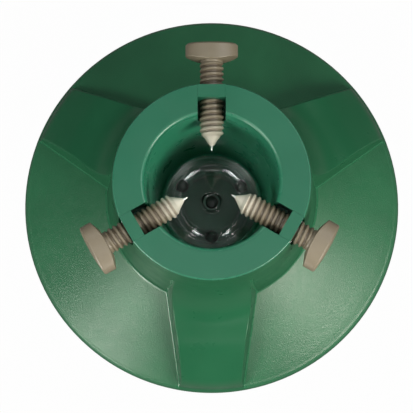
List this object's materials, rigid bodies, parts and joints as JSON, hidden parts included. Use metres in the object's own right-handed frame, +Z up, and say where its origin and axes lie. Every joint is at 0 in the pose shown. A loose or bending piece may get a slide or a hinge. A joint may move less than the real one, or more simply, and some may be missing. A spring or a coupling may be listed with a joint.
{
  "type": "rotating christmas tree stand",
  "caption": "Round ribbed stand with a deep water well, clamp screws with oval handles around its collar, and a turntable on balls under the trunk.",
  "frame": {"origin": "on the floor, under the middle of the well", "axes": "+Z up along the well's axis, +Y towards the clamp screw at the back, one rib points along -Y"},
  "size_m": [0.4572, 0.457, 0.2],
  "materials": {
    "skirt": "fine texture between smooth ribs",
    "collar": "satin",
    "clamp_screw": "satin",
    "steel": "bright",
    "clear_plate": "clear, polished",
    "dark_trim": "satin"
  },
  "bodies": {
    "stand": {"base_shell": "skirt", "water_well": "collar", "nut_block_1": "collar", "nut_block_2": "collar", "nut_block_3": "collar", "pivot_pin": "dark_trim", "pivot_washer": "steel", "collar_screw_1": "steel", "collar_screw_2": "steel", "collar_screw_3": "steel", "collar_screw_4": "steel", "collar_screw_5": "steel", "collar_screw_6": "steel"},
    "turntable": {"turntable": "clear_plate"},
    "cage": {"ball_cage": "clear_plate"},
    "ball_1": {"bearing_ball_1": "dark_trim"},
    "ball_2": {"bearing_ball_2": "dark_trim"},
    "ball_3": {"bearing_ball_3": "dark_trim"},
    "point_1": {"bolt_point_1": "steel"},
    "screw_1": {"clamp_bolt_1": "clamp_screw"},
    "point_2": {"bolt_point_2": "steel"},
    "screw_2": {"clamp_bolt_2": "clamp_screw"},
    "point_3": {"bolt_point_3": "steel"},
    "screw_3": {"clamp_bolt_3": "clamp_screw"}
  },
  "joints": [
    {"name": "turntable_spin", "type": "hinge", "parent": "stand", "child": "turntable", "pos_m": [0, 0, 0.0145], "axis": [0, 0, 1], "continuous": true},
    {"name": "cage_spin", "type": "hinge", "parent": "stand", "child": "cage", "pos_m": [0, 0, 0.0105], "axis": [0, 0, 1], "continuous": true},
    {"name": "ball_spin_1", "type": "hinge", "parent": "cage", "child": "ball_1", "pos_m": [0.03577, 0.02065, 0.014], "axis": [0.866, 0.5, 0], "continuous": true},
    {"name": "ball_spin_2", "type": "hinge", "parent": "cage", "child": "ball_2", "pos_m": [-0.03577, 0.02065, 0.014], "axis": [-0.866, 0.5, 0], "continuous": true},
    {"name": "ball_spin_3", "type": "hinge", "parent": "cage", "child": "ball_3", "pos_m": [0, -0.0413, 0.014], "axis": [0, -1, 0], "continuous": true},
    {"name": "screw_feed_1", "type": "slide", "parent": "stand", "child": "point_1", "axis": [0, 1, 0], "range_m": [-0.0247, 0.0345]},
    {"name": "screw_turn_1", "type": "hinge", "parent": "point_1", "child": "screw_1", "pos_m": [0, 0.0356, 0.178], "axis": [0, 1, 0], "range_deg": [-1476, 2064]},
    {"name": "screw_feed_2", "type": "slide", "parent": "stand", "child": "point_2", "axis": [-0.866, -0.5, 0], "range_m": [-0.0192, 0.04]},
    {"name": "screw_turn_2", "type": "hinge", "parent": "point_2", "child": "screw_2", "pos_m": [-0.02607, -0.01505, 0.178], "axis": [-0.866, -0.5, 0], "range_deg": [-1146, 2394]},
    {"name": "screw_feed_3", "type": "slide", "parent": "stand", "child": "point_3", "axis": [0.866, -0.5, 0], "range_m": [-0.0137, 0.0455]},
    {"name": "screw_turn_3", "type": "hinge", "parent": "point_3", "child": "screw_3", "pos_m": [0.0213, -0.0123, 0.178], "axis": [0.866, -0.5, 0], "range_deg": [-816, 2724]}
  ],
  "couplings": [
    {"joint": "cage_spin", "follows": "turntable_spin", "ratio": 0.5},
    {"joint": "ball_spin_1", "follows": "turntable_spin", "ratio": -2.7533},
    {"joint": "ball_spin_2", "follows": "turntable_spin", "ratio": -2.7533},
    {"joint": "ball_spin_3", "follows": "turntable_spin", "ratio": -2.7533},
    {"joint": "screw_feed_1", "follows": "screw_turn_1", "m_per_rad": 0.00095493},
    {"joint": "screw_feed_2", "follows": "screw_turn_2", "m_per_rad": 0.00095493},
    {"joint": "screw_feed_3", "follows": "screw_turn_3", "m_per_rad": 0.00095493}
  ]
}
